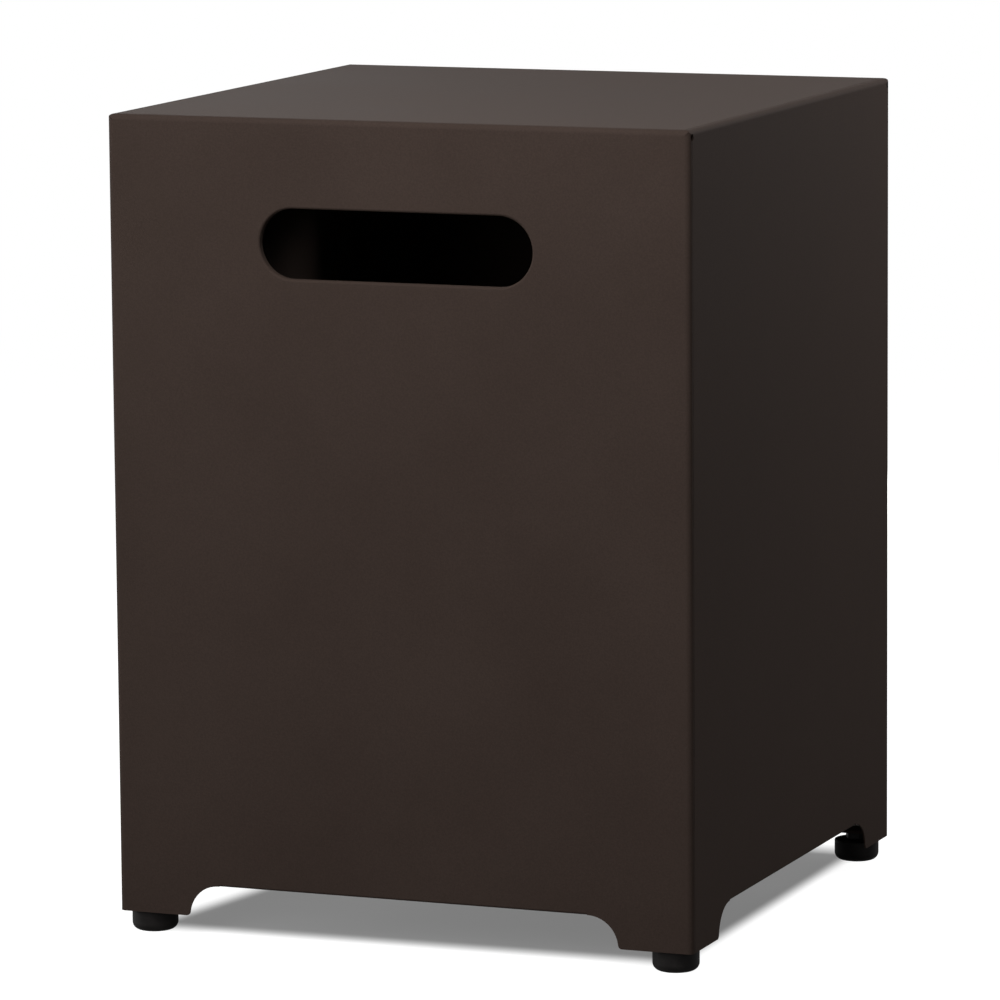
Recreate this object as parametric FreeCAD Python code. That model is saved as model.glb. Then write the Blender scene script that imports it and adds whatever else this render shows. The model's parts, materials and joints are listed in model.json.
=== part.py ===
import FreeCAD, Part
import math
import os

os.makedirs("parts", exist_ok=True)

# Overall size, in millimetres
width = 390.0
depth = 390.0
shell_height = 512.0
foot_exposure = 14.0

# Sheet steel and its folds
sheet = 1.2
edge_radius = 3.6
edge_strip = 1.0
joggle_angle = 75.0
joggle_radius = 0.25
flange_length = 20.0
seam_gap = 0.1
mitre_gap = 0.15
relief_radius = 2.2
relief_inset = 4.4
relief_drop = 4.6
flange_end_gap = 12.0

# Arch between the legs of every wall
leg_width = 49.0
arch_height = 20.2
arch_flange = 11.0
arch_fold_radius = 1.6
arch_flange_relief = 0.5
leg_tip_radius = 2.5

# Hand hold in the front and back walls
hold_length = 183.0
hold_height = 44.5
hold_drop = 78.4
hold_lip = 5.0
hold_fold_radius = 1.6

# Table top
top_corner_radius = 0.4
stiffener_width = 36.0
stiffener_brim = 12.0
stiffener_drop = 12.0
stiffener_fold_radius = 2.4
stiffener_spread = 130.0
stiffener_end_gap = 9.0

# Welded studs and flange nuts that hold the walls together
stud_radius = 2.5
stud_length = 12.0
stud_base_radius = 3.25
stud_base_height = 1.0
stud_hole_radius = 3.6
stud_tip_chamfer = 0.6
stud_inset_on_flange = 10.0
seam_flange_gap = 8.0
seam_stud_end = 24.0
seam_stud_count = 3
top_stud_spacing = 120.0
top_stud_count = 3
nut_width = 8.0
nut_height = 5.0
nut_flange_radius = 5.9
nut_flange_height = 1.2
thread_clearance = 0.05

# Corner brackets that carry the feet
bracket_plate = 2.0
bracket_reach = 40.0
bracket_rise = 30.0
bracket_fold_radius = 3.2
bracket_corner_gap = 9.0
bracket_cut = 18.0
bracket_round = 5.0
bracket_stud_reach = 33.0
bracket_stud_rise = 19.0
bracket_hole_clearance = 0.5

# Adjustable feet
foot_inset = 17.0
pad_radius = 14.8
pad_top_gap = 0.2
pad_edge_radius = 5.0
pad_top_radius = 0.8
pad_hollow_radius = 7.0
pad_hollow_depth = 0.8
foot_thread_radius = 4.0
foot_thread_tip = 1.0
foot_hex_width = 13.0
foot_hex_height = 7.5
foot_thread_length = 28.0
foot_disc_radius = 7.0
foot_disc_height = 3.0
foot_disc_depth = 5.8
foot_gap = 0.3
foot_socket_play = 0.2
weld_nut_width = 13.0
weld_nut_height = 6.5
hex_chamfer = 0.7
hex_chamfer_angle = 30.0

# Places that follow from the sizes above
leg_level = foot_exposure
top_level = foot_exposure + shell_height
top_fold_level = top_level - edge_radius
joggle_run = sheet / math.tan(math.radians(joggle_angle))
flange_start = edge_radius + edge_strip + joggle_run
seam_setback = flange_start + seam_gap
flange_reach = flange_start + flange_length
stud_inset = flange_start + stud_inset_on_flange
under_top = top_level - sheet
relief_level = top_level - relief_drop
pad_height = foot_exposure - pad_top_gap
hex_level = pad_height + foot_gap
bracket_level = hex_level + foot_hex_height + foot_gap
bracket_top_level = bracket_level + bracket_plate
hold_level = top_level - hold_drop
bracket_stud_level = bracket_level + bracket_stud_rise
seam_depth = 2 * sheet
seam_flange_low = bracket_level + bracket_rise + seam_flange_gap
seam_flange_high = top_level - flange_end_gap
seam_stud_low = seam_flange_low + seam_stud_end
seam_stud_high = seam_flange_high - seam_stud_end

# For the construction itself: a length past everything, how far a cut runs past a face, and a tolerance
far = 2 * (width + depth + top_level)
past = 1.0
same_point = 1e-6
hex_sides = 6

up = FreeCAD.Vector(0, 0, 1)
quarter_angle = 90.0

# Each wall by quarter turns from the front: how far out its face lies, and half its own width
walls = {
    "front": (depth / 2, width / 2),
    "right": (width / 2, depth / 2),
    "back": (depth / 2, width / 2),
    "left": (width / 2, depth / 2),
}

# Each corner by quarter turns from the first, at its place in the plan
corners = {
    "front_left": (-width / 2, -depth / 2),
    "front_right": (width / 2, -depth / 2),
    "back_right": (width / 2, depth / 2),
    "back_left": (-width / 2, depth / 2),
}


# Joins solids and merges the faces that run on from one to the next
def joined(shapes):
    first = shapes[0]
    return first.fuse(shapes[1:]).removeSplitter()


# A closed face from a list of edges
def face_of(edges):
    wire = Part.Wire(Part.sortEdges(edges)[0])
    return Part.Face(wire)


# A straight-sided face from its corners
def polygon(points):
    return Part.Face(Part.makePolygon(points + points[:1]))


# The unit direction from one flat point to the next, or None where they are the same point
def direction(start, end):
    length = math.hypot(end[0] - start[0], end[1] - start[1])
    if length < same_point:
        return None
    return ((end[0] - start[0]) / length, (end[1] - start[1]) / length)


# The flat point at a distance from another, along a unit direction
def moved(point, run, distance):
    return (point[0] + distance * run[0], point[1] + distance * run[1])


# One side of a folded sheet: the path moved to its left by the offset, with its folds rounded
def sheet_side(path, radii, offset):
    pieces = []
    here = None
    for index, point in enumerate(path):
        run_in = direction(path[max(index - 1, 0)], point) or direction(point, path[index + 1])
        run_out = direction(point, path[min(index + 1, len(path) - 1)]) or run_in
        cross = run_in[0] * run_out[1] - run_in[1] * run_out[0]
        dot = run_in[0] * run_out[0] + run_in[1] * run_out[1]
        left = (-run_in[1] - run_out[1], run_in[0] + run_out[0])
        corner = moved(point, left, offset / (1 + dot))
        side = math.copysign(1, cross)
        radius = max(radii[index] - side * offset, 0) if abs(cross) > same_point else 0
        tangent = radius * math.tan(math.atan2(abs(cross), dot) / 2)
        start = moved(corner, run_in, -tangent)
        if here is None:
            here = start
        if direction(here, start):
            pieces.append((here, start))
        here = start
        if radius > same_point:
            centre = moved(start, (-run_in[1], run_in[0]), side * radius)
            here = moved(corner, run_out, tangent)
            pieces.append((start, moved(centre, direction(centre, corner), radius), here))
    return pieces


# The edges of flat pieces, each a line through two points or an arc through three
def edges_of(pieces, spot):
    edges = []
    for piece in pieces:
        points = [spot(*point) for point in piece]
        curve = Part.LineSegment(*points) if len(points) == 2 else Part.Arc(*points)
        edges.append(curve.toShape())
    return edges


# The cross-section of a folded sheet, with its thickness on the left of the path
def folded_face(path, radii, thickness, spot):
    near_side = sheet_side(path, radii, 0)
    far_side = sheet_side(path, radii, thickness)
    caps = [(near_side[0][0], far_side[0][0]), (near_side[-1][-1], far_side[-1][-1])]
    return face_of(edges_of(near_side + far_side + caps, spot))


# A solid turned about the upright axis from its half outline of radius and height
def turned(outline):
    points = [FreeCAD.Vector(radius, 0, level) for radius, level in outline]
    return polygon(points).revolve(FreeCAD.Vector(0, 0, 0), up, 360)


# A plain hexagon bar standing on a level
def hexagon(across_flats, level, height):
    reach = across_flats / math.sqrt(3)
    points = []
    for step in range(hex_sides):
        angle = math.tau * step / hex_sides
        points.append(FreeCAD.Vector(reach * math.cos(angle), reach * math.sin(angle), level))
    return polygon(points).extrude(up * height)


# A hexagon bar with the turned chamfers of its two ends
def chamfered(bar, across_flats, level, height):
    reach = across_flats / math.sqrt(3)
    drop = (reach - across_flats / 2 + hex_chamfer) * math.tan(math.radians(hex_chamfer_angle))
    envelope = [
        (0, level),
        (across_flats / 2 - hex_chamfer, level),
        (reach, level + drop),
        (reach, level + height - drop),
        (across_flats / 2 - hex_chamfer, level + height),
        (0, level + height),
    ]
    return bar.common(turned(envelope))


# The straight upright edges of a solid
def upright_lines(solid):
    return [edge for edge in solid.Edges if abs(edge.tangentAt(edge.FirstParameter).z) > 1 - same_point]


# The round edges of a solid that lie at a level
def round_edges_at(solid, level):
    return [edge for edge in solid.Edges if edge.Closed and abs(edge.CenterOfMass.z - level) < same_point]


# Takes away all that lies past a plane
def cut_past(shape, point, outward):
    block = Part.makeBox(far, far, far, FreeCAD.Vector(-far / 2, -far / 2, 0))
    block.Placement = FreeCAD.Placement(point, FreeCAD.Rotation(up, outward))
    return shape.cut(block)


# Turns a wall from its own frame, where its outer face is at y = 0, to its side of the table
def place_wall(shape, side):
    reach = walls[side][0]
    placed = shape.copy()
    placed.translate(FreeCAD.Vector(0, -reach, 0))
    placed.rotate(FreeCAD.Vector(0, 0, 0), up, quarter_angle * list(walls).index(side))
    return placed


# Turns a corner piece from its own frame, where both outer faces are at 0, to its corner of the table
def place_corner(shape, corner):
    placed = shape.copy()
    placed.rotate(FreeCAD.Vector(0, 0, 0), up, quarter_angle * list(corners).index(corner))
    placed.translate(FreeCAD.Vector(*corners[corner], 0))
    return placed


# The path of a wall's rounded edge: round the fold, along the strip, in by one sheet, then the flange
def joggled_path():
    return [
        (0, 0),
        (edge_radius, 0),
        (edge_radius, edge_radius + edge_strip),
        (edge_radius - sheet, flange_start),
        (edge_radius - sheet, flange_reach),
    ]


# The flat of a wall with its arch, from leg level up to the top fold
def wall_flat(half_flat, half_span):
    arch_half = half_span - leg_width
    crown_half = arch_half - arch_height
    arch_level = leg_level + arch_height
    slope = arch_height * math.sqrt(0.5)
    corner_points = [
        FreeCAD.Vector(-arch_half, 0, leg_level),
        FreeCAD.Vector(-half_flat, 0, leg_level),
        FreeCAD.Vector(-half_flat, 0, top_fold_level),
        FreeCAD.Vector(half_flat, 0, top_fold_level),
        FreeCAD.Vector(half_flat, 0, leg_level),
        FreeCAD.Vector(arch_half, 0, leg_level),
    ]
    edges = Part.makePolygon(corner_points).Edges
    crown = [FreeCAD.Vector(-crown_half, 0, arch_level), FreeCAD.Vector(crown_half, 0, arch_level)]
    edges.append(Part.LineSegment(*crown).toShape())
    for side in (-1, 1):
        middle = FreeCAD.Vector(side * (crown_half + slope), 0, leg_level + slope)
        foot = FreeCAD.Vector(side * arch_half, 0, leg_level)
        head = FreeCAD.Vector(side * crown_half, 0, arch_level)
        edges.append(Part.Arc(foot, middle, head).toShape())
    flat = face_of(edges).extrude(FreeCAD.Vector(0, sheet, 0))
    return rounded_leg_tips(flat, arch_half)


# Rounds the lower inner corner of each leg
def rounded_leg_tips(flat, arch_half):
    tips = []
    for edge in flat.Edges:
        middle = edge.CenterOfMass
        sideways = abs(middle.x) - arch_half
        if math.hypot(sideways, middle.y - sheet / 2, middle.z - leg_level) < same_point:
            tips.append(edge)
    return flat.makeFillet(leg_tip_radius, tips)


# Folds the crown of the arch inwards, as a stiff safe edge
def with_arch_flange(flat, half_span):
    half_run = half_span - leg_width - arch_height - arch_flange_relief
    arch_level = leg_level + arch_height
    notch_corner = FreeCAD.Vector(-half_run, -past, arch_level - past)
    notch = Part.makeBox(2 * half_run, sheet + 2 * past, arch_fold_radius + past, notch_corner)
    path = [(0, arch_fold_radius), (0, 0), (arch_flange, 0)]
    profile = folded_face(
        path,
        [0, arch_fold_radius, 0],
        sheet,
        lambda inward, rise: FreeCAD.Vector(-half_run, inward, arch_level + rise),
    )
    flange = profile.extrude(FreeCAD.Vector(2 * half_run, 0, 0))
    return joined([flat.cut(notch), flange])


# The rounded top edge of a wall, cut at the mitres where it meets the walls beside it
def top_edge(half_span):
    profile = folded_face(
        joggled_path(),
        [0, edge_radius, joggle_radius, 0, 0],
        sheet,
        lambda rise, inward: FreeCAD.Vector(-half_span, inward, top_fold_level + rise),
    )
    edge = profile.extrude(FreeCAD.Vector(2 * half_span, 0, 0))
    fold_half = half_span - edge_radius
    for side in (-1, 1):
        fold_corner = FreeCAD.Vector(side * (fold_half - mitre_gap), 0, top_fold_level)
        edge = cut_past(edge, fold_corner, FreeCAD.Vector(side, 0, -1))
        plan_corner = FreeCAD.Vector(side * (half_span - mitre_gap), 0, 0)
        edge = cut_past(edge, plan_corner, FreeCAD.Vector(side, 1, 0))
    return edge.cut(drilled_along(top_stud_places(half_span), up, stud_hole_radius))


# The rounded upright edges of the front and back walls, with the flanges that the side walls lie on
def upright_edges(half_span):
    fold_half = half_span - edge_radius
    edges = []
    for side in (-1, 1):
        profile = folded_face(
            joggled_path(),
            [0, edge_radius, joggle_radius, 0, 0],
            sheet,
            lambda out, inward: FreeCAD.Vector(side * (fold_half + out), inward, leg_level),
        )
        edge = profile.extrude(up * shell_height)
        own_mitre = FreeCAD.Vector(side * (fold_half + mitre_gap), 0, top_fold_level)
        edge = cut_past(edge, own_mitre, FreeCAD.Vector(-side, 0, 1))
        side_mitre = FreeCAD.Vector(0, edge_radius - mitre_gap, top_fold_level)
        edge = cut_past(edge, side_mitre, FreeCAD.Vector(0, 1, 1))
        edges.append(edge.cut(flange_ends(half_span)))
    return edges


# The stretches above and below the upright flanges, where the brackets and top flanges need room
def flange_ends(half_span):
    start = edge_radius + edge_strip
    low_corner = FreeCAD.Vector(-half_span, start, leg_level - past)
    low = Part.makeBox(2 * half_span, far, seam_flange_low - leg_level + past, low_corner)
    high_corner = FreeCAD.Vector(-half_span, start, seam_flange_high)
    high = Part.makeBox(2 * half_span, far, far, high_corner)
    return low.fuse(high)


# Bars that drill a hole through each place, a little way to both sides
def drilled_along(places, axis, radius):
    bars = []
    for place in places:
        start = place - axis * stud_length
        bars.append(Part.makeCylinder(radius, 2 * stud_length, start, axis))
    return Part.makeCompound(bars)


# Where the table top's studs pass through a wall's top flange
def top_stud_places(half_span):
    places = []
    for index in range(top_stud_count):
        along = (index - (top_stud_count - 1) / 2) * top_stud_spacing
        places.append(FreeCAD.Vector(along, stud_inset, under_top))
    return places


# The heights of the studs up a seam
def seam_stud_levels():
    step = (seam_stud_high - seam_stud_low) / (seam_stud_count - 1)
    return [seam_stud_low + index * step for index in range(seam_stud_count)]


# Where the studs of a side wall pass through the front or back wall's upright flanges
def seam_hole_places(half_span):
    places = []
    for side in (-1, 1):
        for level in seam_stud_levels():
            places.append(FreeCAD.Vector(side * half_span, stud_inset, level))
    return places


# The rim of the hand hold, folded inwards: two straight runs and two half rounds
def hold_rim():
    end_radius = hold_height / 2
    end_centre = (hold_length - hold_height) / 2
    path = [(hold_fold_radius, 0), (0, 0), (0, hold_lip)]
    radii = [0, hold_fold_radius, 0]
    pieces = []
    for side in (-1, 1):
        run = folded_face(
            path,
            radii,
            -sheet,
            lambda out, inward: FreeCAD.Vector(-end_centre, inward, hold_level + side * (end_radius + out)),
        )
        pieces.append(run.extrude(FreeCAD.Vector(2 * end_centre, 0, 0)))
        profile = folded_face(
            path,
            radii,
            -sheet,
            lambda out, inward: FreeCAD.Vector(side * end_centre, inward, hold_level + end_radius + out),
        )
        centre = FreeCAD.Vector(side * end_centre, 0, hold_level)
        pieces.append(profile.revolve(centre, FreeCAD.Vector(0, side, 0), 180))
    return pieces


# The hand hold's outline grown by a margin, as a bar through the wall
def hold_bar(margin):
    end_radius = hold_height / 2 + margin
    end_centre = (hold_length - hold_height) / 2
    bar_length = sheet + 2 * past
    start = FreeCAD.Vector(-end_centre, -past, hold_level - end_radius)
    middle = Part.makeBox(2 * end_centre, bar_length, 2 * end_radius, start)
    ends = []
    for side in (-1, 1):
        centre = FreeCAD.Vector(side * end_centre, -past, hold_level)
        ends.append(Part.makeCylinder(end_radius, bar_length, centre, FreeCAD.Vector(0, 1, 0)))
    return joined([middle] + ends)


# Where the studs for the brackets stand on a wall's inner face
def bracket_stud_places(half_span):
    places = []
    for side in (-1, 1):
        along = side * (half_span - bracket_stud_reach)
        places.append(FreeCAD.Vector(along, sheet, bracket_stud_level))
    return places


# A front or back wall: hand hold, arch, rounded top and upright edges
def wrap_wall(side):
    half_span = walls[side][1]
    flat = wall_flat(half_span - edge_radius, half_span).cut(hold_bar(hold_fold_radius))
    flat = with_arch_flange(flat, half_span)
    body = joined([flat] + hold_rim() + upright_edges(half_span) + [top_edge(half_span)])
    across = FreeCAD.Vector(1, 0, 0)
    reliefs = [FreeCAD.Vector(end * half_span, relief_inset, relief_level) for end in (-1, 1)]
    body = body.cut(drilled_along(seam_hole_places(half_span), across, stud_hole_radius))
    return place_wall(body.cut(drilled_along(reliefs, across, relief_radius)), side)


# A side wall: arch and rounded top edge, with plain upright edges that meet the front and back seams
def side_wall(side):
    half_span = walls[side][1]
    flat = with_arch_flange(wall_flat(half_span - seam_setback, half_span), half_span)
    body = joined([flat, top_edge(half_span)])
    relief_half = half_span - relief_inset
    reliefs = [FreeCAD.Vector(end * relief_half, 0, relief_level) for end in (-1, 1)]
    bars = drilled_along(reliefs, FreeCAD.Vector(0, 1, 0), relief_radius)
    return place_wall(body.cut(bars), side)


# The flat table top, which lies on the top flanges of the four walls
def table_top():
    span_x = width - 2 * seam_setback
    span_y = depth - 2 * seam_setback
    start = FreeCAD.Vector(-span_x / 2, -span_y / 2, under_top)
    plate = Part.makeBox(span_x, span_y, sheet, start)
    return plate.makeFillet(top_corner_radius, upright_lines(plate))


# A channel with brims, folded from sheet, under the table top
def top_stiffener(offset):
    half_channel = stiffener_width / 2
    path = [
        (-half_channel - stiffener_brim, 0),
        (-half_channel, 0),
        (-half_channel, -stiffener_drop),
        (half_channel, -stiffener_drop),
        (half_channel, 0),
        (half_channel + stiffener_brim, 0),
    ]
    inner = stiffener_fold_radius - sheet
    radii = [0, stiffener_fold_radius, inner, inner, stiffener_fold_radius, 0]
    half_run = width / 2 - flange_reach - stiffener_end_gap
    profile = folded_face(
        path,
        radii,
        -sheet,
        lambda across, rise: FreeCAD.Vector(-half_run, offset + across, under_top + rise),
    )
    return profile.extrude(FreeCAD.Vector(2 * half_run, 0, 0))


# A stud with its weld base, standing on the origin
def weld_stud():
    outline = [
        (0, 0),
        (stud_base_radius, 0),
        (stud_base_radius, stud_base_height),
        (stud_radius, stud_base_height),
        (stud_radius, stud_length - stud_tip_chamfer),
        (stud_radius - stud_tip_chamfer, stud_length),
        (0, stud_length),
    ]
    return turned(outline)


# A flange nut standing on the origin
def flange_nut():
    bore = stud_radius + thread_clearance
    flange = turned(
        [
            (bore, 0),
            (nut_flange_radius, 0),
            (nut_flange_radius, nut_flange_height / 2),
            (nut_width / 2, nut_flange_height),
            (bore, nut_flange_height),
        ]
    )
    bar = hexagon(nut_width, nut_flange_height / 2, nut_height - nut_flange_height / 2)
    bar = bar.cut(Part.makeCylinder(bore, nut_height))
    return flange.fuse(bar)


# Copies of a piece that stands on the origin, set at each place with its foot towards the wall
def set_at(piece, places, axis):
    copies = []
    for place in places:
        copy = piece.copy()
        copy.Placement = FreeCAD.Placement(place, FreeCAD.Rotation(up, axis))
        copies.append(copy)
    return copies


# The studs on a wall's inner face: for the brackets, and on a side wall for the seams too
def wall_studs(side):
    half_span = walls[side][1]
    places = bracket_stud_places(half_span)
    if side in ("left", "right"):
        for end in (-1, 1):
            for level in seam_stud_levels():
                places.append(FreeCAD.Vector(end * (half_span - stud_inset), sheet, level))
    studs = Part.makeCompound(set_at(weld_stud(), places, FreeCAD.Vector(0, 1, 0)))
    return place_wall(studs, side)


# The nuts of a side wall's seams, on the upright flanges of the front and back walls
def seam_nuts(side):
    half_span = walls[side][1]
    places = []
    for end in (-1, 1):
        for level in seam_stud_levels():
            places.append(FreeCAD.Vector(end * (half_span - stud_inset), seam_depth, level))
    nuts = Part.makeCompound(set_at(flange_nut(), places, FreeCAD.Vector(0, 1, 0)))
    return place_wall(nuts, side)


# The nuts that hold the brackets to all four walls
def bracket_nuts():
    groups = []
    for side in walls:
        places = []
        for place in bracket_stud_places(walls[side][1]):
            places.append(place + FreeCAD.Vector(0, bracket_plate, 0))
        nuts = Part.makeCompound(set_at(flange_nut(), places, FreeCAD.Vector(0, 1, 0)))
        groups.extend(place_wall(nuts, side).Solids)
    return Part.makeCompound(groups)


# The pieces below the table top that repeat along all four walls, set at a depth below it
def under_top_flanges(piece, below):
    groups = []
    for side in walls:
        places = []
        for place in top_stud_places(walls[side][1]):
            places.append(place - up * below)
        copies = Part.makeCompound(set_at(piece, places, -up))
        groups.extend(place_wall(copies, side).Solids)
    return Part.makeCompound(groups)


# A corner bracket: a plate with a cut corner for the foot's nut, and a folded ear on each wall
def corner_bracket():
    inner = sheet + bracket_fold_radius
    outline = [
        FreeCAD.Vector(inner, inner, bracket_level),
        FreeCAD.Vector(bracket_reach, inner, bracket_level),
        FreeCAD.Vector(bracket_reach, bracket_reach - bracket_cut, bracket_level),
        FreeCAD.Vector(bracket_reach - bracket_cut, bracket_reach, bracket_level),
        FreeCAD.Vector(inner, bracket_reach, bracket_level),
    ]
    plate = polygon(outline).extrude(up * bracket_plate)
    rounded = []
    for edge in upright_lines(plate):
        if min(edge.CenterOfMass.x, edge.CenterOfMass.y) > foot_inset:
            rounded.append(edge)
    plate = plate.makeFillet(bracket_round, rounded)
    body = joined([plate, bracket_ear(False), bracket_ear(True)])
    centre = FreeCAD.Vector(foot_inset, foot_inset, bracket_level - past)
    hole_radius = foot_thread_radius + bracket_hole_clearance
    return body.cut(Part.makeCylinder(hole_radius, bracket_plate + 2 * past, centre))


# One ear of the corner bracket, folded up against a wall, with its stud hole
def bracket_ear(swapped):
    path = [
        (sheet + bracket_fold_radius, 0),
        (sheet, 0),
        (sheet, bracket_rise),
    ]
    start = sheet + bracket_corner_gap
    profile = folded_face(
        path,
        [0, bracket_fold_radius, 0],
        -bracket_plate,
        lambda inward, rise: FreeCAD.Vector(start, inward, bracket_level + rise),
    )
    ear = profile.extrude(FreeCAD.Vector(bracket_reach - start, 0, 0))
    centre = FreeCAD.Vector(bracket_stud_reach, 0, bracket_stud_level)
    ear = ear.cut(Part.makeCylinder(stud_hole_radius, bracket_reach, centre, FreeCAD.Vector(0, 1, 0)))
    if swapped:
        ear = ear.mirror(FreeCAD.Vector(0, 0, 0), FreeCAD.Vector(1, -1, 0))
    return ear


# The nut welded on a bracket, in which the foot's stud turns
def weld_nut():
    bar = hexagon(weld_nut_width, bracket_top_level, weld_nut_height)
    bar = chamfered(bar, weld_nut_width, bracket_top_level, weld_nut_height)
    centre = FreeCAD.Vector(0, 0, bracket_top_level)
    return bar.cut(Part.makeCylinder(foot_thread_radius + thread_clearance, weld_nut_height, centre))


# A foot's stud: a disc that sits in the pad, a neck, a spanner hexagon and the threaded shank
def foot_stud():
    disc_level = pad_height - foot_disc_depth
    thread_start = hex_level + foot_hex_height
    thread_end = thread_start + foot_thread_length
    disc = turned(
        [
            (0, disc_level),
            (foot_disc_radius, disc_level),
            (foot_disc_radius, disc_level + foot_disc_height),
            (foot_thread_radius, disc_level + foot_disc_height),
            (foot_thread_radius, hex_level),
            (0, hex_level),
        ]
    )
    bar = hexagon(foot_hex_width, hex_level, foot_hex_height)
    bar = chamfered(bar, foot_hex_width, hex_level, foot_hex_height)
    shank = turned(
        [
            (0, thread_start),
            (foot_thread_radius, thread_start),
            (foot_thread_radius, thread_end - foot_thread_tip),
            (foot_thread_radius - foot_thread_tip, thread_end),
            (0, thread_end),
        ]
    )
    return joined([disc, bar, shank])


# A foot's pad: a round foot with a soft lower edge, a hollow below and a socket for the stud's disc
def foot_pad():
    body = Part.makeCylinder(pad_radius, pad_height)
    body = body.makeFillet(pad_edge_radius, round_edges_at(body, 0))
    body = body.makeFillet(pad_top_radius, round_edges_at(body, pad_height))
    body = body.cut(Part.makeCylinder(pad_hollow_radius, pad_hollow_depth))
    socket_level = pad_height - foot_disc_depth - foot_socket_play
    socket_height = foot_disc_height + 2 * foot_socket_play
    socket_centre = FreeCAD.Vector(0, 0, socket_level)
    socket = Part.makeCylinder(foot_disc_radius + thread_clearance, socket_height, socket_centre)
    neck = Part.makeCylinder(foot_thread_radius + thread_clearance, pad_height, socket_centre)
    return body.cut(socket.fuse(neck))


# A copy of a foot's piece, moved from the origin to the foot of a corner
def at_foot(piece, corner):
    copy = piece.copy()
    copy.translate(FreeCAD.Vector(foot_inset, foot_inset, 0))
    return place_corner(copy, corner)


# All nodes of the table by name
def table_nodes():
    nodes = {
        "front_panel": wrap_wall("front"),
        "back_panel": wrap_wall("back"),
        "left_panel": side_wall("left"),
        "right_panel": side_wall("right"),
        "top_panel": table_top(),
        "top_stiffener_front": top_stiffener(-stiffener_spread / 2),
        "top_stiffener_rear": top_stiffener(stiffener_spread / 2),
        "top_panel_studs": under_top_flanges(weld_stud(), 0),
        "top_flange_nuts": under_top_flanges(flange_nut(), sheet),
        "left_seam_nuts": seam_nuts("left"),
        "right_seam_nuts": seam_nuts("right"),
        "bracket_nuts": bracket_nuts(),
        "foot_weld_nuts": Part.makeCompound([at_foot(weld_nut(), corner) for corner in corners]),
    }
    for side in walls:
        nodes[side + "_panel_studs"] = wall_studs(side)
    for corner in corners:
        nodes["corner_bracket_" + corner] = place_corner(corner_bracket(), corner)
        nodes["foot_stud_" + corner] = at_foot(foot_stud(), corner)
        nodes["foot_pad_" + corner] = at_foot(foot_pad(), corner)
    return nodes


for name, shape in table_nodes().items():
    shape.exportStep("parts/" + name + ".step")
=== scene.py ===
import json
import math

import bmesh
import bpy
from mathutils import Matrix, Vector

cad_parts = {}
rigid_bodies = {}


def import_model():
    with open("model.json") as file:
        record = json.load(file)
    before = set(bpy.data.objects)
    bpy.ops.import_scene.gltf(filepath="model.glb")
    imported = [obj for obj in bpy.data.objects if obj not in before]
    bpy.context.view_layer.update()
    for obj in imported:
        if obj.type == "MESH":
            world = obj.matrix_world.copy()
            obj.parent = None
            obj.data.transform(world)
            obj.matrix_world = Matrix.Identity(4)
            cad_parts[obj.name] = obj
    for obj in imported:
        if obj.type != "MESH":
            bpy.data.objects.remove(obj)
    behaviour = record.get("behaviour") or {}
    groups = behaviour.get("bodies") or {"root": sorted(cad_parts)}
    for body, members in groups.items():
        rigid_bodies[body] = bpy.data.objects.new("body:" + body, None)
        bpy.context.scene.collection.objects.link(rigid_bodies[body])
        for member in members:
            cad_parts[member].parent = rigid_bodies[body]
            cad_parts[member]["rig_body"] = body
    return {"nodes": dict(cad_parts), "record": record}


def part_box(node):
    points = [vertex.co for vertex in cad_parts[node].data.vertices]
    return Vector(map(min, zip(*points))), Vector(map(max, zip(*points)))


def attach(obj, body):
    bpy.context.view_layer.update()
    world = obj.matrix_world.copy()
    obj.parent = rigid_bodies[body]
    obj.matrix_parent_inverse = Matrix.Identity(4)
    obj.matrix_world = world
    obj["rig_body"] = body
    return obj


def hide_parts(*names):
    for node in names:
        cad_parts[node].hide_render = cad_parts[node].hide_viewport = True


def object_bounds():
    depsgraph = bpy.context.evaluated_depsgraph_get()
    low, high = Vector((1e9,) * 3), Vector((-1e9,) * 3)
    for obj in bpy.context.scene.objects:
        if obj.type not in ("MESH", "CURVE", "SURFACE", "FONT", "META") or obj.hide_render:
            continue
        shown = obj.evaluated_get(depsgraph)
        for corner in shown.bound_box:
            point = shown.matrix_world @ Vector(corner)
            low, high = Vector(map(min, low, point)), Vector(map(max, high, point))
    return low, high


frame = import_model()
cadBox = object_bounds()

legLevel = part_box("front_panel")[0].z

# The photograph's viewpoint, in degrees and metres, with the lens and its sensor in millimetres.
# Height is above the ends of the legs
photoView = {
    "azimuth": 21.593,
    "elevation": 8.669,
    "roll": -0.440,
    "distance": 4.2259,
    "sideways": -0.00746,
    "height": 0.24461,
    "lens": 231.1,
    "sensor": 36.0,
    "seesTo": 100,
}


def makeCamera(settings):
    turn, tilt, roll = [math.radians(settings[key]) for key in ("azimuth", "elevation", "roll")]
    back = Vector((math.sin(turn) * math.cos(tilt), -math.cos(turn) * math.cos(tilt), math.sin(tilt)))
    level = Vector((math.cos(turn), math.sin(turn), 0))
    rise = back.cross(level)
    across = math.cos(roll) * level + math.sin(roll) * rise
    above = math.cos(roll) * rise - math.sin(roll) * level
    place = Vector((0, 0, legLevel)) + back * settings["distance"]
    place += level * settings["sideways"] + rise * settings["height"]
    lens = bpy.data.cameras.new("photoCamera")
    lens.lens = settings["lens"]
    lens.sensor_width = settings["sensor"]
    lens.clip_end = settings["seesTo"]
    camera = bpy.data.objects.new("photoCamera", lens)
    turned = Matrix((across, above, back)).transposed()
    camera.matrix_world = Matrix.Translation(place) @ turned.to_4x4()
    bpy.context.scene.collection.objects.link(camera)
    bpy.context.scene.camera = camera


makeCamera(photoView)
print("camera set")


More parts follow.
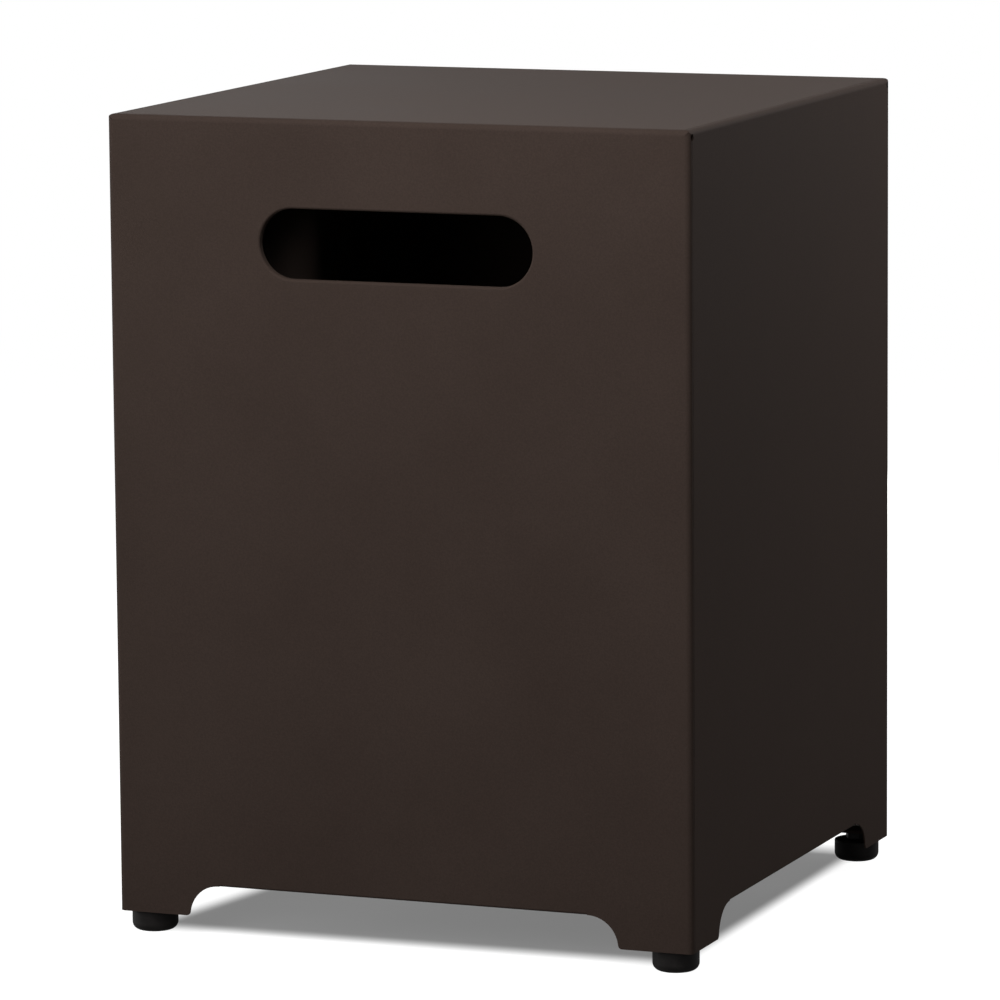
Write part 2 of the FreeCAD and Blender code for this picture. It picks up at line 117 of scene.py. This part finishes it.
class Wire:
    # The output of a shader node, so that shader maths reads as plain maths
    def __init__(self, finish, socket):
        self.finish = finish
        self.socket = socket

    def maths(self, operation, first, second):
        return self.finish.add("ShaderNodeMath", {"operation": operation}, {0: first, 1: second})

    def __add__(self, other):
        return self.maths("ADD", self, other)

    def __radd__(self, other):
        return self.maths("ADD", other, self)

    def __sub__(self, other):
        return self.maths("SUBTRACT", self, other)

    def __rsub__(self, other):
        return self.maths("SUBTRACT", other, self)

    def __mul__(self, other):
        return self.maths("MULTIPLY", self, other)

    def __rmul__(self, other):
        return self.maths("MULTIPLY", other, self)


class Finish:
    # A node tree that is filled by one method
    def __init__(self, tree):
        self.tree = tree
        self.tree.nodes.clear()

    def add(self, kind, settings, inputs, output=0):
        node = self.tree.nodes.new(kind)
        for key, value in settings.items():
            if key == "stops":
                self.setStops(node.color_ramp, value)
            else:
                setattr(node, key, value)
        for key, value in inputs.items():
            if isinstance(value, Wire):
                self.tree.links.new(value.socket, node.inputs[key])
            else:
                node.inputs[key].default_value = value
        if node.outputs:
            return Wire(self, node.outputs[output])

    def setStops(self, ramp, stops):
        # A new ramp has two stops already, and no ramp here needs more
        for element, (position, shade) in zip(ramp.elements, stops):
            element.position = position
            element.color = (*shade, 1)

    def noise(self, place, size, detail=1, roughness=0.5):
        inputs = {"Vector": place, "Scale": 1 / size, "Detail": detail, "Roughness": roughness}
        return self.add("ShaderNodeTexNoise", {}, inputs)

    def ramp(self, share, stops):
        return self.add("ShaderNodeValToRGB", {"stops": stops}, {0: share})

    def spread(self, value, low, high):
        # 0 below low and 1 above high, with a smooth step between
        settings = {"interpolation_type": "SMOOTHSTEP"}
        return self.add("ShaderNodeMapRange", settings, {0: value, 1: low, 2: high})

    def tinted(self, shade, tint):
        # The colour sockets of a Mix node share their names with others, so they go by number
        settings = {"data_type": "RGBA", "blend_type": "MULTIPLY"}
        return self.add("ShaderNodeMix", settings, {0: 1, 6: shade, 7: tint}, 2)


def newFinish(name):
    material = bpy.data.materials.new(name)
    material.use_nodes = True
    return material, Finish(material.node_tree)


def grey(level):
    return (level, level, level, 1)


# Dark brown powder coat: a fine orange peel whose pits carry painted shade, and cloudy patches of gloss
# and colour
powderCoat = {
    "name": "powderCoat",
    "shade": (0.0360, 0.0249, 0.0204),
    "lightShade": (0.0414, 0.0290, 0.0239),
    "patchSize": 0.11,
    "metallic": 0.0,
    "specular": 0.042,
    "roughness": 0.78,
    "roughnessSpread": 0.08,
    "grainSize": 0.00035,
    "grainHeight": 0.000014,
    "peelSize": 0.0011,
    "peelHeight": 0.00005,
    "pitPaintedShade": (0.86, 0.86, 0.86),
}

# Steel under a thin plated layer, bright or blackened
brightZinc = {
    "name": "brightZinc",
    "shade": (0.50, 0.50, 0.48),
    "lightShade": (0.66, 0.66, 0.65),
    "patchSize": 0.0025,
    "metallic": 1.0,
    "specular": 0.5,
    "roughness": 0.34,
    "roughnessSpread": 0.16,
    "grainSize": 0.00012,
    "grainHeight": 0.000003,
}
blackSteel = {
    "name": "blackSteel",
    "shade": (0.006, 0.006, 0.0065),
    "lightShade": (0.014, 0.0135, 0.013),
    "patchSize": 0.003,
    "metallic": 0.6,
    "specular": 0.5,
    "roughness": 0.46,
    "roughnessSpread": 0.14,
    "grainSize": 0.00015,
    "grainHeight": 0.000003,
}

# Black moulded nylon with a spark-eroded grain
blackNylon = {
    "name": "blackNylon",
    "shade": (0.0085, 0.0076, 0.0074),
    "lightShade": (0.0125, 0.0112, 0.0106),
    "patchSize": 0.006,
    "metallic": 0.0,
    "specular": 0.08,
    "roughness": 0.55,
    "roughnessSpread": 0.12,
    "grainSize": 0.0003,
    "grainHeight": 0.00001,
}

# The levels at which a noise's dark and light patches are full
darkFrom = 0.3
lightFrom = 0.7


def surfaceFinish(settings):
    material, finish = newFinish(settings["name"])
    place = finish.add("ShaderNodeTexCoord", {}, {}, "Object")
    patches = finish.noise(place, settings["patchSize"], detail=3, roughness=0.6)
    shade = finish.ramp(patches, [(darkFrom, settings["shade"]), (lightFrom, settings["lightShade"])])
    roughness = settings["roughness"] + (patches - 0.5) * settings["roughnessSpread"]
    heights = finish.noise(place, settings["grainSize"]) * settings["grainHeight"]
    if "peelSize" in settings:
        peel = finish.noise(place, settings["peelSize"])
        # Painted shade: the colour is darkened in the pits, the low parts of the peel
        paintedPitShade = finish.ramp(peel, [(darkFrom, settings["pitPaintedShade"]), (lightFrom, (1, 1, 1))])
        shade = finish.tinted(shade, paintedPitShade)
        heights = peel * settings["peelHeight"] + heights
    bump = finish.add("ShaderNodeBump", {}, {"Strength": 1.0, "Distance": 1.0, "Height": heights})
    shader = finish.add(
        "ShaderNodeBsdfPrincipled",
        {},
        {
            "Base Color": shade,
            "Roughness": roughness,
            "Metallic": settings["metallic"],
            "Specular IOR Level": settings["specular"],
            "Normal": bump,
        },
    )
    finish.add("ShaderNodeOutputMaterial", {}, {"Surface": shader})
    return material


finishes = {
    "powder_coat": surfaceFinish(powderCoat),
    "zinc_steel": surfaceFinish(brightZinc),
    "black_steel": surfaceFinish(blackSteel),
    "foot_plastic": surfaceFinish(blackNylon),
}
slotOf = {part["node"]: part["material_slot"] for part in frame["record"]["subparts"]}
for name, node in frame["nodes"].items():
    node.data.materials.clear()
    node.data.materials.append(finishes[slotOf[name]])
print("finishes made:", len(finishes))

middleOfAll = (cadBox[0] + cadBox[1]) / 2
ringSteps = 48  # points on each ring of a turned piece
threadSteps = 32  # steps for each turn of a thread
hexagonSector = math.pi / 3
chamferSlope = 0.577  # the corners of nuts are cut at 30 degrees
sharpFrom = math.radians(28)
mergeReach = 1e-6  # points nearer than this are one point
cutReach = 1e-7  # points this near to a cutting plane lie in it
cornerReach = 1e-5  # a corner has to lie this much further out than the last one


# The separate solids of a node, each as a list of its points
def solidsOf(node):
    shape = bmesh.new()
    shape.from_mesh(node.data)
    bmesh.ops.remove_doubles(shape, verts=shape.verts, dist=mergeReach)
    solids = []
    for start in shape.verts:
        if start.tag:
            continue
        start.tag = True
        solid = [start]
        for vertex in solid:
            for edge in vertex.link_edges:
                other = edge.other_vert(vertex)
                if not other.tag:
                    other.tag = True
                    solid.append(other)
        solids.append([vertex.co.copy() for vertex in solid])
    shape.free()
    return solids


# How a fastener stands: its foot at the origin, its axis along Z towards the table's inside, and a corner
# of its hexagon along X. Its axis is its longest side if it is slender, and otherwise its shortest. Its
# hexagon is looked for above a share of its height
def standing(points, slender, hexagonFrom):
    low = Vector([min(point[axis] for point in points) for axis in range(3)])
    high = Vector([max(point[axis] for point in points) for axis in range(3)])
    sizes = list(high - low)
    axis = sizes.index(max(sizes) if slender else min(sizes))
    foot = (low + high) / 2
    inwards = 1 if foot[axis] < middleOfAll[axis] else -1
    foot[axis] = low[axis] if inwards > 0 else high[axis]
    along = Vector((0, 0, 0))
    along[axis] = inwards
    corner = Vector((0, 0, 0))
    for point in points:
        rise = (point - foot).dot(along)
        reach = point - foot - along * rise
        if rise > sizes[axis] * hexagonFrom and reach.length > corner.length + cornerReach:
            corner = reach
    across = corner.normalized()
    turned = Matrix((across, along.cross(across), along)).transposed()
    return Matrix.Translation(foot) @ turned.to_4x4()


def placesIn(node, slender, hexagonFrom=0):
    return [standing(points, slender, hexagonFrom) for points in solidsOf(node)]


# Puts a circle of points on a ring: round, or a hexagon whose corners a cone may cut lower
def setRing(points, ring):
    kind, reach, level, *cone = ring
    step = math.tau / ringSteps
    for point in points:
        turn = round(math.atan2(point.co.y, point.co.x) / step) * step
        radius = reach
        if kind == "hexagon":
            radius /= math.cos(turn % hexagonSector - hexagonSector / 2)
        drop = (radius - reach) * cone[0] if cone else 0
        point.co = (radius * math.cos(turn), radius * math.sin(turn), level - drop)


# A turned piece from its rings, from the foot outwards and up. Bored, its last ring joins its first
def turnedPiece(rings, bored):
    shape = bmesh.new()
    points = bmesh.ops.create_circle(shape, cap_ends=not bored, segments=ringSteps, radius=1)["verts"]
    setRing(points, rings[0])
    firstLoop = loop = list(shape.edges)
    for ring in rings[1:]:
        made = bmesh.ops.extrude_edge_only(shape, edges=loop)["geom"]
        points = [item for item in made if isinstance(item, bmesh.types.BMVert)]
        edges = [item for item in made if isinstance(item, bmesh.types.BMEdge)]
        loop = [edge for edge in edges if set(edge.verts) <= set(points)]
        setRing(points, ring)
    if bored:
        bmesh.ops.bridge_loops(shape, edges=firstLoop + loop)
    else:
        bmesh.ops.contextual_create(shape, geom=loop)
    bmesh.ops.recalc_face_normals(shape, faces=shape.faces)
    return shape


# A thread: one tooth's line spun up a helix, cut flat at both ends, with a coned tip. The tooth's points
# are radii and shares of the pitch, and the helix runs past both ends until it is cut
def threadedRod(settings):
    pitch, crest, low, high = [settings[key] for key in ("pitch", "crestRadius", "threadFrom", "threadTo")]
    root = crest - settings["threadDepth"]
    turns = math.ceil((high - low) / pitch) + 2
    tooth = [(root, 0), (root, 0.25), (crest, 0.56), (crest, 0.69), (root, 1)]
    shape = bmesh.new()
    points = [shape.verts.new((radius, 0, low + pitch * (share - 1))) for radius, share in tooth]
    edges = [shape.edges.new(pair) for pair in zip(points, points[1:])]
    bmesh.ops.spin(
        shape,
        geom=points + edges,
        cent=(0, 0, 0),
        axis=(0, 0, 1),
        dvec=(0, 0, pitch / threadSteps),
        angle=turns * math.tau,
        steps=turns * threadSteps,
    )
    bmesh.ops.remove_doubles(shape, verts=shape.verts, dist=mergeReach)
    tip = high - settings["tipLength"]
    for level, clearAbove, clearBelow in ((low, False, True), (tip, False, False), (high, True, False)):
        everything = list(shape.verts) + list(shape.edges) + list(shape.faces)
        cut = bmesh.ops.bisect_plane(
            shape,
            geom=everything,
            dist=cutReach,
            plane_co=(0, 0, level),
            plane_no=(0, 0, 1),
            clear_outer=clearAbove,
            clear_inner=clearBelow,
        )
        if clearAbove or clearBelow:
            rim = [item for item in cut["geom_cut"] if isinstance(item, bmesh.types.BMEdge)]
            bmesh.ops.contextual_create(shape, geom=rim)
    for point in shape.verts:
        limit = crest - max(point.co.z - tip, 0) * settings["tipSlope"]
        reach = math.hypot(point.co.x, point.co.y)
        if reach > limit:
            point.co.x *= limit / reach
            point.co.y *= limit / reach
    bmesh.ops.recalc_face_normals(shape, faces=shape.faces)
    return shape


# Several shapes as one mesh, each copied to its own places
def gathered(name, shapes):
    everything = bmesh.new()
    for shape, places in shapes:
        pattern = bpy.data.meshes.new(name)
        shape.to_mesh(pattern)
        shape.free()
        for place in places:
            copy = pattern.copy()
            copy.transform(place)
            everything.from_mesh(copy)
            bpy.data.meshes.remove(copy)
        bpy.data.meshes.remove(pattern)
    mesh = bpy.data.meshes.new(name)
    everything.to_mesh(mesh)
    everything.free()
    mesh.shade_smooth()
    mesh.set_sharp_from_angle(angle=sharpFrom)
    return mesh


def addPiece(name, mesh, body, slot):
    mesh.materials.append(finishes[slot])
    piece = bpy.data.objects.new(name, mesh)
    bpy.context.scene.collection.objects.link(piece)
    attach(piece, body)
    return piece


# Studs welded on the panels: a collar where the weld set, and an M5 thread
weldStud = {
    "turn": 2.4,  # radians from one stud to the next, so that their threads start unlike
    "pitch": 0.0008,
    "crestRadius": 0.00246,
    "threadDepth": 0.00046,
    "threadFrom": 0.0009,
    "threadTo": 0.012,
    "tipLength": 0.0006,
    "tipSlope": 1.0,
    "collar": [
        ("round", 0.00325, 0),
        ("round", 0.00325, 0.00045),
        ("round", 0.00312, 0.00072),
        ("round", 0.00285, 0.0009),
        ("round", 0.00255, 0.00102),
        ("round", 0.00215, 0.0013),
    ],
}

# Flange nuts: a coned flange, a chamfered hexagon and a countersunk bore
flangeNut = {
    "hexagonFrom": 0.5,  # the share of its height that the flange stays below
    "rings": [
        ("round", 0.0029, 0),
        ("round", 0.0057, 0),
        ("round", 0.0059, 0.0002),
        ("round", 0.0059, 0.00055),
        ("round", 0.00575, 0.0007),
        ("hexagon", 0.0040, 0.0012, 0.3),
        ("hexagon", 0.0040, 0.00488, chamferSlope),
        ("round", 0.0038, 0.005),
        ("round", 0.0029, 0.005),
        ("round", 0.00255, 0.0046),
        ("round", 0.00255, 0.0004),
    ],
}

# Nuts welded on the corner brackets, with three short runs of weld each
weldNut = {
    "rings": [
        ("round", 0.0045, 0),
        ("hexagon", 0.0065, 0),
        ("hexagon", 0.0065, 0.0063, chamferSlope),
        ("round", 0.00615, 0.0065),
        ("round", 0.0047, 0.0065),
        ("round", 0.00405, 0.0059),
        ("round", 0.00405, 0.0005),
    ],
    "flats": 0.0065,
    "weldSize": (0.0034, 0.0013, 0.0012),
    "weldFaces": (16, 28),  # around a run and along it
    "weldTurns": (30, 150, 270),
    "rippleLength": 0.0009,
    "rippleDepth": 0.09,
}

# The feet's screws: a disc held in the pad, a neck, a spanner hexagon and an M8 thread
footScrew = {
    "pitch": 0.00125,
    "crestRadius": 0.00396,
    "threadDepth": 0.00074,
    "threadFrom": 0.0134,
    "threadTo": 0.0416,
    "tipLength": 0.001,
    "tipSlope": 1.0,
    "head": [
        ("round", 0.0067, 0),
        ("round", 0.0070, 0.0003),
        ("round", 0.0070, 0.0027),
        ("round", 0.0067, 0.003),
        ("round", 0.0042, 0.003),
        ("round", 0.00385, 0.0034),
        ("round", 0.00385, 0.0061),
        ("round", 0.0061, 0.0061),
        ("hexagon", 0.0065, 0.00633, -chamferSlope),
        ("hexagon", 0.0065, 0.01337, chamferSlope),
        ("round", 0.0061, 0.0136),
        ("round", 0.0034, 0.0136),
    ],
}


# A short run of weld along one flat of a nut, rippled as the wire lays it down
def weldRun(settings):
    shape = bmesh.new()
    around, along = settings["weldFaces"]
    lying = Matrix.Rotation(math.pi / 2, 4, "Y")
    bmesh.ops.create_uvsphere(shape, u_segments=around, v_segments=along, radius=1, matrix=lying)
    length, width, height = settings["weldSize"]
    for point in shape.verts:
        phase = math.tau * point.co.x * length / settings["rippleLength"]
        ripple = 1 + settings["rippleDepth"] * math.cos(phase)
        point.co = (point.co.x * length, point.co.y * width * ripple, point.co.z * height * ripple)
    return shape


def weldPlaces(place, settings):
    toFlat = Matrix.Translation((settings["flats"], 0, 0)) @ Matrix.Rotation(math.pi / 2, 4, "Z")
    return [place @ Matrix.Rotation(math.radians(turn), 4, "Z") @ toFlat for turn in settings["weldTurns"]]


# What a node's studs, foot screws or nuts are made of: pairs of a shape and its places
def fastenerShapes(nodeName, node):
    if nodeName.endswith("_studs"):
        places = placesIn(node, slender=True)
        turn = weldStud["turn"]
        places = [place @ Matrix.Rotation(index * turn, 4, "Z") for index, place in enumerate(places)]
        return [(turnedPiece(weldStud["collar"], bored=False), places), (threadedRod(weldStud), places)]
    if nodeName.startswith("foot_stud_"):
        places = placesIn(node, slender=True)
        return [(turnedPiece(footScrew["head"], bored=False), places), (threadedRod(footScrew), places)]
    if nodeName == "foot_weld_nuts":
        places = placesIn(node, slender=False)
        runs = [run for place in places for run in weldPlaces(place, weldNut)]
        return [(turnedPiece(weldNut["rings"], bored=True), places), (weldRun(weldNut), runs)]
    if nodeName.endswith("_nuts"):
        places = placesIn(node, slender=False, hexagonFrom=flangeNut["hexagonFrom"])
        return [(turnedPiece(flangeNut["rings"], bored=True), places)]
    return []


for name, node in frame["nodes"].items():
    shapes = fastenerShapes(name, node)
    if shapes:
        pieceName = name + "_made"
        piece = addPiece(pieceName, gathered(pieceName, shapes), node["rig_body"], slotOf[name])
        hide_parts(name)
        print(pieceName, "made:", len(piece.data.polygons), "faces")

# Marks of the spot welds that hold the channels' brims to the table top
spotWeld = {
    "rings": [
        ("round", 0.0033, 0),
        ("round", 0.0030, 0.00012),
        ("round", 0.0025, 0.00014),
        ("round", 0.0022, 0.00005),
    ],
    "perBrim": 7,
    "brimInset": 0.0055,
    "endInset": 0.02,
    "sheet": 0.0012,
}


def spotWeldPlaces(settings):
    places = []
    for name in ("top_stiffener_front", "top_stiffener_rear"):
        low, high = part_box(name)
        for y in (low.y + settings["brimInset"], high.y - settings["brimInset"]):
            for index in range(settings["perBrim"]):
                share = index / (settings["perBrim"] - 1)
                x = (low.x + settings["endInset"]) * (1 - share) + (high.x - settings["endInset"]) * share
                below = Matrix.Translation((x, y, high.z - settings["sheet"]))
                places.append(below @ Matrix.Rotation(math.pi, 4, "X"))
    return places


spotWeldMark = turnedPiece(spotWeld["rings"], bored=False)
spotWelds = gathered("spotWelds", [(spotWeldMark, spotWeldPlaces(spotWeld))])
addPiece("spotWelds", spotWelds, "shell", "powder_coat")
print("spot welds made")

# A pale floor that glows white, with a painted shadow under the table, and a white surround
studio = {
    "floorRadius": 3.0,
    "rimSegments": 96,
    "clearRadius": 1.2,
    # The corners and edge blurs of the painted shadow under the table
    "paintedShadowSides": [
        {"start": (-0.185, -0.172), "blur": 0.017},
        {"start": (0.174, -0.162), "blur": 0.008},
        {"start": (0.171, 0.2035), "blur": 0.024},
        {"start": (-0.118, 0.2035), "blur": 0.012},
    ],
    "floorShade": 0.3,
    "paintedShadowGrey": 0.196,
    "litGrey": 0.985,
    "skyStrength": 0.01,
    "skyGloss": 1.0,
    "floorGloss": 0.15,
}

# Soft square lamps, each with its place and the point that it faces
lamps = {
    "upperFrontLamp": {"place": (0.1, -0.95, 1.45), "aim": (0, 0.2, 1.1), "size": 0.8, "power": 22.4},
    "frontLamp": {"place": (-0.3, -1.6, 0.9), "aim": (0, 0, 0.3), "size": 0.8, "power": 10.9},
    "sideLamp": {"place": (0.6, 0.65, 0.8), "aim": (0.195, 0.19, 0.4), "size": 0.3, "power": 4.0},
    "backLamp": {"place": (-0.7, 1.8, 1.0), "aim": (0, 0, 0.5), "size": 1.0, "power": 1.0},
    "topLamp": {"place": (-0.7, 0.9, 0.9), "aim": (-0.15, -0.1, 0.52), "size": 0.4, "power": 1.9},
    "lowBackLamp": {"place": (-0.3, 1.9, 0.3), "aim": (0, 0, 0.27), "size": 0.4, "power": 11},
    "lowLeftLamp": {"place": (-1.9, -0.3, 0.3), "aim": (0, 0, 0.27), "size": 0.4, "power": 14},
}


def lightPath(finish, glossShare):
    # 1 for what the camera sees directly or through glass, and a share of it for a reflection
    outputs = ["Is Camera Ray", "Is Glossy Ray", "Is Transmission Ray"]
    camera, glossy, glass = [finish.add("ShaderNodeLightPath", {}, {}, output) for output in outputs]
    return camera.maths("MAXIMUM", camera.maths("MAXIMUM", camera, glossy * glossShare), glass)


def makeWorld(settings):
    world = bpy.data.worlds.new("studio")
    world.use_nodes = True
    bpy.context.scene.world = world
    finish = Finish(world.node_tree)
    seen = lightPath(finish, settings["skyGloss"])
    strength = seen + (1 - seen) * settings["skyStrength"]
    sky = finish.add("ShaderNodeBackground", {}, {"Color": grey(1), "Strength": strength})
    finish.add("ShaderNodeOutputWorld", {}, {"Surface": sky})


def paintedShadowPatch(finish, place, settings):
    # A painted shadow: 1 under the table and 0 beside it, with soft edges: each side counts how far a
    # point lies inside it
    x, y = [finish.add("ShaderNodeSeparateXYZ", {}, {0: place}, axis) for axis in "XY"]
    sides = settings["paintedShadowSides"]
    patch = 1
    for side, following in zip(sides, sides[1:] + sides[:1]):
        start, blur = Vector(side["start"]), side["blur"]
        run = (Vector(following["start"]) - start).normalized()
        inside = y * run.x - x * run.y - (start.y * run.x - start.x * run.y)
        patch = patch * finish.spread(inside, -blur, blur)
    return patch


def floorFinish(settings):
    material, finish = newFinish("paleFloor")
    place = finish.add("ShaderNodeTexCoord", {}, {}, "Object")
    reach = finish.add("ShaderNodeVectorMath", {"operation": "LENGTH"}, {0: place}, "Value")
    farOut = finish.spread(reach, settings["clearRadius"], settings["floorRadius"])
    paintedShadow = paintedShadowPatch(finish, place, settings)
    # Painted shadow: the floor's glow is lowered to a grey under the table
    strength = paintedShadow * settings["paintedShadowGrey"] + (1 - paintedShadow) * settings["litGrey"]
    seen = lightPath(finish, settings["floorGloss"])
    plain = finish.add("ShaderNodeBsdfDiffuse", {}, {"Color": grey(settings["floorShade"])})
    lift = finish.add("ShaderNodeEmission", {}, {"Color": grey(1), "Strength": seen * strength})
    near = finish.add("ShaderNodeAddShader", {}, {0: plain, 1: lift})
    distant = finish.add("ShaderNodeEmission", {}, {"Color": grey(1), "Strength": seen})
    surface = finish.add("ShaderNodeMixShader", {}, {0: farOut, 1: near, 2: distant})
    finish.add("ShaderNodeOutputMaterial", {}, {"Surface": surface})
    return material


def makeFloor(settings):
    shape = bmesh.new()
    rim = settings["rimSegments"]
    bmesh.ops.create_circle(shape, cap_ends=True, segments=rim, radius=settings["floorRadius"])
    mesh = bpy.data.meshes.new("floor")
    shape.to_mesh(mesh)
    shape.free()
    floor = bpy.data.objects.new("floor", mesh)
    bpy.context.scene.collection.objects.link(floor)
    mesh.materials.append(floorFinish(settings))


def makeLamp(name, settings):
    light = bpy.data.lights.new(name, "AREA")
    light.shape = "SQUARE"
    light.size = settings["size"]
    light.energy = settings["power"]
    lamp = bpy.data.objects.new(name, light)
    towards = Vector(settings["aim"]) - Vector(settings["place"])
    turned = towards.to_track_quat("-Z", "Y").to_matrix().to_4x4()
    lamp.matrix_world = Matrix.Translation(settings["place"]) @ turned
    bpy.context.scene.collection.objects.link(lamp)


makeWorld(studio)
makeFloor(studio)
for name, settings in lamps.items():
    makeLamp(name, settings)
bpy.context.scene.view_settings.view_transform = "Standard"
print("floor and lamps made")
